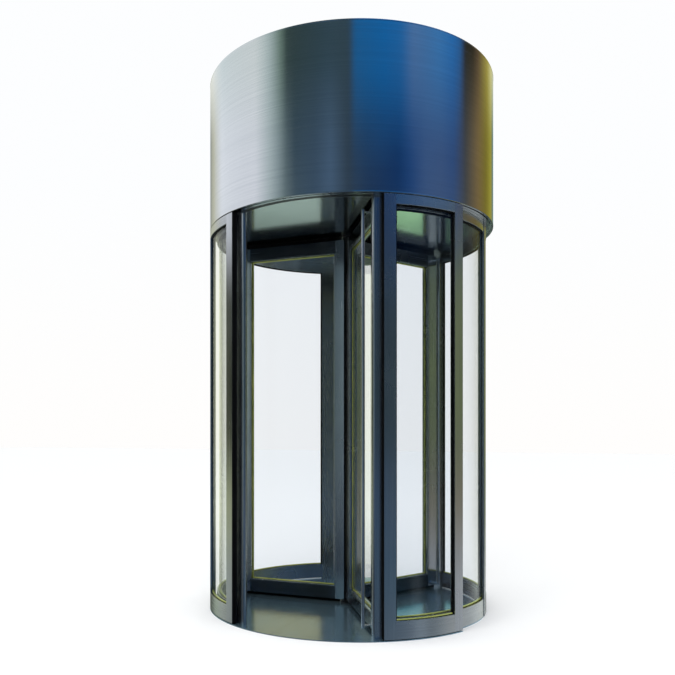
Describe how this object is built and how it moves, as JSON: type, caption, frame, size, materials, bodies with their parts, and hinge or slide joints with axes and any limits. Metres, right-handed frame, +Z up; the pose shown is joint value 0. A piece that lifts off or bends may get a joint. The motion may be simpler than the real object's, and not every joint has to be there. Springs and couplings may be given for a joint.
{
  "type": "revolving door",
  "caption": "Round glazed revolving door with wings on a centre column, a tall steel canopy and curved night-closing leaves parked beside the front entrance.",
  "frame": {"origin": "on the wings' axis of rotation, at ground level", "axes": "+Z up along the column, -Y towards the front entrance, +X to the right seen from the front"},
  "size_m": [2.1, 2.1, 3.85],
  "materials": {
    "brushed_steel": "brushed",
    "canopy_steel": "brushed",
    "polished_steel": "polished",
    "floor_plate": "satin",
    "roof_sheet": "matte",
    "dark_coating": "satin",
    "clear_glass": "clear",
    "black_brush": "brush pile",
    "black_rubber": "matte",
    "black_plastic": "matte"
  },
  "bodies": {
    "drum": {"floor_disc": "floor_plate", "front_sill": "floor_plate", "floor_bearing": "dark_coating", "front_posts": "brushed_steel", "rear_posts": "brushed_steel", "wall_posts": "brushed_steel", "bottom_rails": "brushed_steel", "top_rails": "brushed_steel", "front_left_glass": "clear_glass", "front_right_glass": "clear_glass", "rear_left_glass": "clear_glass", "rear_right_glass": "clear_glass", "header_ring": "dark_coating", "ceiling": "polished_steel", "ceiling_collar": "dark_coating", "soffit_track": "brushed_steel", "canopy_front": "canopy_steel", "canopy_rear": "canopy_steel", "canopy_roof": "roof_sheet"},
    "rotor": {"centre_column": "dark_coating", "wing_1_stiles": "brushed_steel", "wing_1_rails": "brushed_steel", "wing_1_glass": "clear_glass", "wing_1_brushes": "black_brush", "wing_1_push_bar": "brushed_steel", "wing_2_stiles": "brushed_steel", "wing_2_rails": "brushed_steel", "wing_2_glass": "clear_glass", "wing_2_brushes": "black_brush", "wing_2_push_bar": "brushed_steel", "wing_3_stiles": "brushed_steel", "wing_3_rails": "brushed_steel", "wing_3_glass": "clear_glass", "wing_3_brushes": "black_brush", "wing_3_push_bar": "brushed_steel"},
    "left_leaf": {"left_leaf_posts": "brushed_steel", "left_leaf_rails": "brushed_steel", "left_leaf_glass": "clear_glass", "left_leaf_seal": "black_rubber", "left_leaf_guides": "black_plastic"},
    "right_leaf": {"right_leaf_posts": "brushed_steel", "right_leaf_rails": "brushed_steel", "right_leaf_glass": "clear_glass", "right_leaf_seal": "black_rubber", "right_leaf_guides": "black_plastic"}
  },
  "joints": [
    {"name": "rotor_turn", "type": "hinge", "parent": "drum", "child": "rotor", "pos_m": [0, 0, 0], "axis": [0, 0, 1], "continuous": true},
    {"name": "left_leaf_close", "type": "hinge", "parent": "drum", "child": "left_leaf", "pos_m": [0, 0, 0], "axis": [0, 0, 1], "range_deg": [0, 29.9]},
    {"name": "right_leaf_close", "type": "hinge", "parent": "drum", "child": "right_leaf", "pos_m": [0, 0, 0], "axis": [0, 0, -1], "range_deg": [0, 29.9]}
  ]
}
